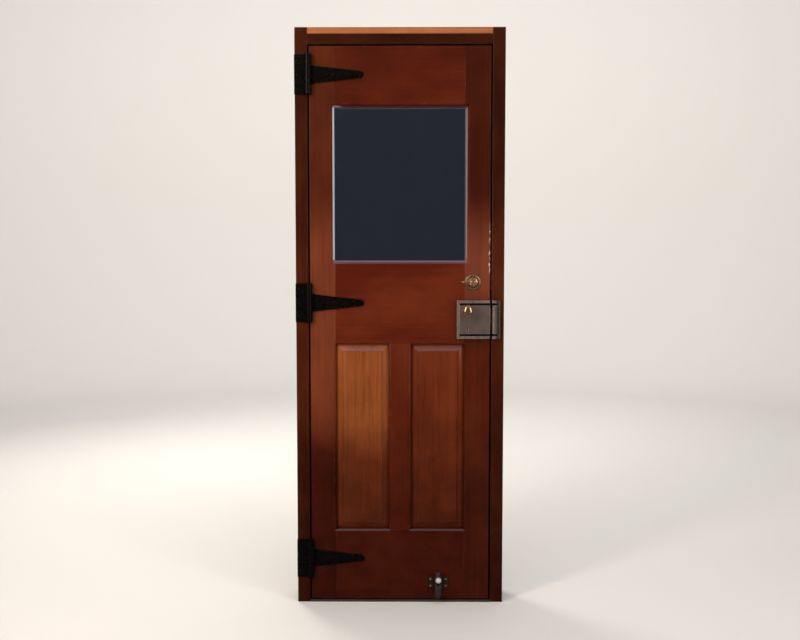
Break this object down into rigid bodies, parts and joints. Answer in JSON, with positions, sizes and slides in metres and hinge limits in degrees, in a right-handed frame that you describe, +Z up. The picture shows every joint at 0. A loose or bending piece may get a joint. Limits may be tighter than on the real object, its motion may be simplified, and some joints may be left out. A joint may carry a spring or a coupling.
{
  "type": "caboose end door in its frame",
  "caption": "Half-glazed panelled wooden end door on T-hinges, with rim lock and deadbolt, hung in its cased frame.",
  "frame": {"origin": "centre of the sill plate's underside", "axes": "+X to the right seen from inside, +Y outwards through the doorway, +Z up"},
  "size_m": [0.742, 0.207, 2.054],
  "materials": {
    "leaf_wood": "varnished red-brown hardwood, worn along the edges",
    "panel_wood": "varnished red-brown hardwood, upright grain",
    "frame_wood": "dark brown varnished hardwood",
    "pine": "clear varnished pine",
    "bead_paint": "pale grey paint",
    "glass": "clear plate glass",
    "black_iron": "satin black iron",
    "sill_steel": "dark worn steel",
    "lock_bronze": "dull grey-brown bronze",
    "bolt_steel": "bright worn steel",
    "brass": "polished brass, slightly tarnished",
    "nickel": "bright nickel plate"
  },
  "bodies": {
    "frame": {"casing_inner_head": "frame_wood", "casing_inner_hinge_side": "frame_wood", "casing_inner_lock_side": "frame_wood", "casing_outer_head": "frame_wood", "casing_outer_hinge_side": "frame_wood", "casing_outer_lock_side": "frame_wood", "deadbolt_strike": "brass", "filler_board": "pine", "head_jamb": "frame_wood", "hinge_pin_bottom": "black_iron", "hinge_pin_middle": "black_iron", "hinge_pin_top": "black_iron", "hinge_plate_bottom": "black_iron", "hinge_plate_middle": "black_iron", "hinge_plate_top": "black_iron", "jamb_hinge_side": "frame_wood", "jamb_lock_side": "frame_wood", "lock_keeper": "lock_bronze", "sill_plate": "sill_steel", "stop_head": "frame_wood", "stop_hinge_side": "frame_wood", "stop_lock_side": "frame_wood"},
    "leaf": {"bead_bottom": "bead_paint", "bead_hinge_side": "bead_paint", "bead_lock_side": "bead_paint", "bead_top": "bead_paint", "deadbolt_cylinder": "brass", "deadbolt_faceplate": "brass", "deadbolt_nose": "bolt_steel", "deadbolt_rosette": "brass", "deadbolt_turn": "brass", "foot_bolt_barrel": "nickel", "foot_bolt_plate": "nickel", "foot_bolt_rod": "nickel", "hinge_strap_bottom": "black_iron", "hinge_strap_middle": "black_iron", "hinge_strap_top": "black_iron", "knob_inner": "brass", "knob_outer": "brass", "latch_bolt": "bolt_steel", "lock_bolt": "bolt_steel", "lock_case": "lock_bronze", "lock_plate_outer": "brass", "muntin": "leaf_wood", "panel_hinge_side": "panel_wood", "panel_lock_side": "panel_wood", "rail_bottom": "leaf_wood", "rail_lock": "leaf_wood", "rail_top": "leaf_wood", "stile_hinge_side": "leaf_wood", "stile_lock_side": "leaf_wood", "window_glass": "glass"}
  },
  "joints": [
    {"name": "door_swing", "type": "hinge", "parent": "frame", "child": "leaf", "pos_m": [-0.32275, -0.0775, 0], "axis": [0, 0, -1], "range_deg": [0, 110]}
  ]
}
